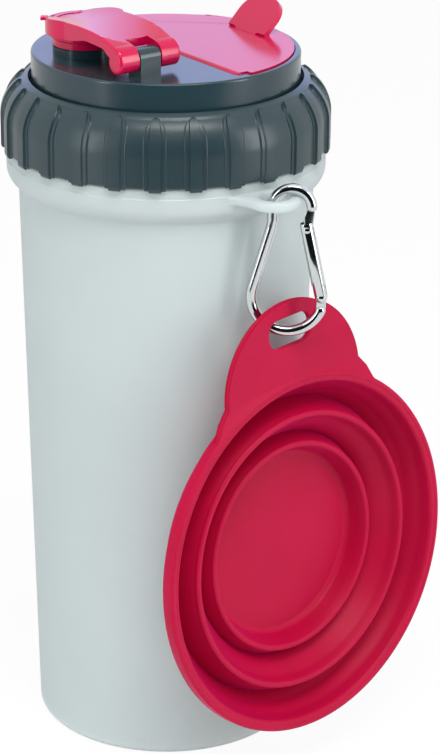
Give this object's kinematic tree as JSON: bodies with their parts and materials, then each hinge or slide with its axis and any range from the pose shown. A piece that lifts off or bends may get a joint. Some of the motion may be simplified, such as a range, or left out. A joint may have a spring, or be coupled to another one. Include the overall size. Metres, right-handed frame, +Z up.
{
  "type": "dog travel bottle",
  "caption": "Upright two-chamber travel bottle for a dog: screw ring and lid with flip spout cap and food flap, and a folding silicone bowl hung from a snap hook on the collar.",
  "frame": {"origin": "centre of the flat base, on the surface that it stands on", "axes": "+Z up along the bottle; -Y through the hanging lug, towards the bowl; the divider lies in X = 0 with the water chamber and spout at -X and the food chamber and flap at +X"},
  "size_m": [0.1228, 0.1261, 0.243],
  "materials": {
    "bottle_clear": "clear, faintly grey-green, polished",
    "lid_teal": "dark grey-teal plastic, satin",
    "ring_teal": "dark grey-teal plastic, satin",
    "cap_pink": "deep pink plastic, polished",
    "flap_pink": "deep pink plastic, polished",
    "bowl_pink": "deep pink silicone, soft sheen",
    "seal_white": "milky silicone, matt",
    "steel": "polished steel wire",
    "pin_steel": "drawn steel pins and spring"
  },
  "bodies": {
    "bottle": {"bottle": "bottle_clear", "bottle_neck": "bottle_clear"},
    "lid": {"lid_body": "lid_teal", "lid_seal": "seal_white", "flap_hinge_pin": "pin_steel"},
    "ring": {"screw_ring": "ring_teal"},
    "cap": {"spout_cap": "cap_pink", "spout_plug": "seal_white", "cap_hinge_pin": "pin_steel"},
    "flap": {"food_flap": "flap_pink", "flap_seal": "seal_white"},
    "hook": {"hook_body": "steel", "gate_rivet": "steel"},
    "gate": {"hook_gate": "steel", "gate_latch_pin": "steel", "gate_spring": "pin_steel"},
    "bowl": {"bowl_rim": "bowl_pink", "bowl_outer_web": "bowl_pink"},
    "bowl_tier": {"bowl_middle": "bowl_pink", "bowl_inner_web": "bowl_pink"},
    "bowl_floor": {"bowl_base": "bowl_pink"}
  },
  "joints": [
    {"name": "lid_lift", "type": "slide", "parent": "bottle", "child": "lid", "axis": [0, 0, 1], "range_m": [0, 0.045]},
    {"name": "ring_turn", "type": "hinge", "parent": "lid", "child": "ring", "pos_m": [0, 0, 0.21], "axis": [0, 0, 1], "continuous": true},
    {"name": "cap_hinge", "type": "hinge", "parent": "lid", "child": "cap", "pos_m": [-0.0234, -0.0216, 0.2354], "axis": [1, 0, 0], "range_deg": [0, 110]},
    {"name": "flap_hinge", "type": "hinge", "parent": "lid", "child": "flap", "pos_m": [0.0004, 0, 0.2297], "axis": [0, -1, 0], "range_deg": [0, 100]},
    {"name": "hook_swing", "type": "hinge", "parent": "bottle", "child": "hook", "pos_m": [0.00414, -0.06047, 0.1928], "axis": [-0.6428, -0.766, 0], "range_deg": [0, 25]},
    {"name": "gate_hinge", "type": "hinge", "parent": "hook", "child": "gate", "pos_m": [0.01134, -0.06651, 0.164], "axis": [-0.6428, -0.766, 0], "range_deg": [0, 15], "stiffness_Nm_per_rad": 0.02, "springref_deg": -17.19},
    {"name": "bowl_swing", "type": "hinge", "parent": "hook", "child": "bowl", "pos_m": [0.00322, -0.0597, 0.1524], "axis": [-0.766, 0.6428, 0], "range_deg": [0, 36]},
    {"name": "tier_slide", "type": "slide", "parent": "bowl", "child": "bowl_tier", "axis": [-0.1042, 0.9912, -0.0819], "range_m": [0, 0.0137], "deforming": ["bowl_outer_web"]},
    {"name": "floor_slide", "type": "slide", "parent": "bowl_tier", "child": "bowl_floor", "axis": [-0.1042, 0.9912, -0.0819], "range_m": [0, 0.0096], "deforming": ["bowl_inner_web"]}
  ],
  "couplings": [
    {"joint": "tier_slide", "follows": "bowl_swing", "m_per_rad": 0.021712},
    {"joint": "floor_slide", "follows": "bowl_swing", "m_per_rad": 0.015078}
  ]
}
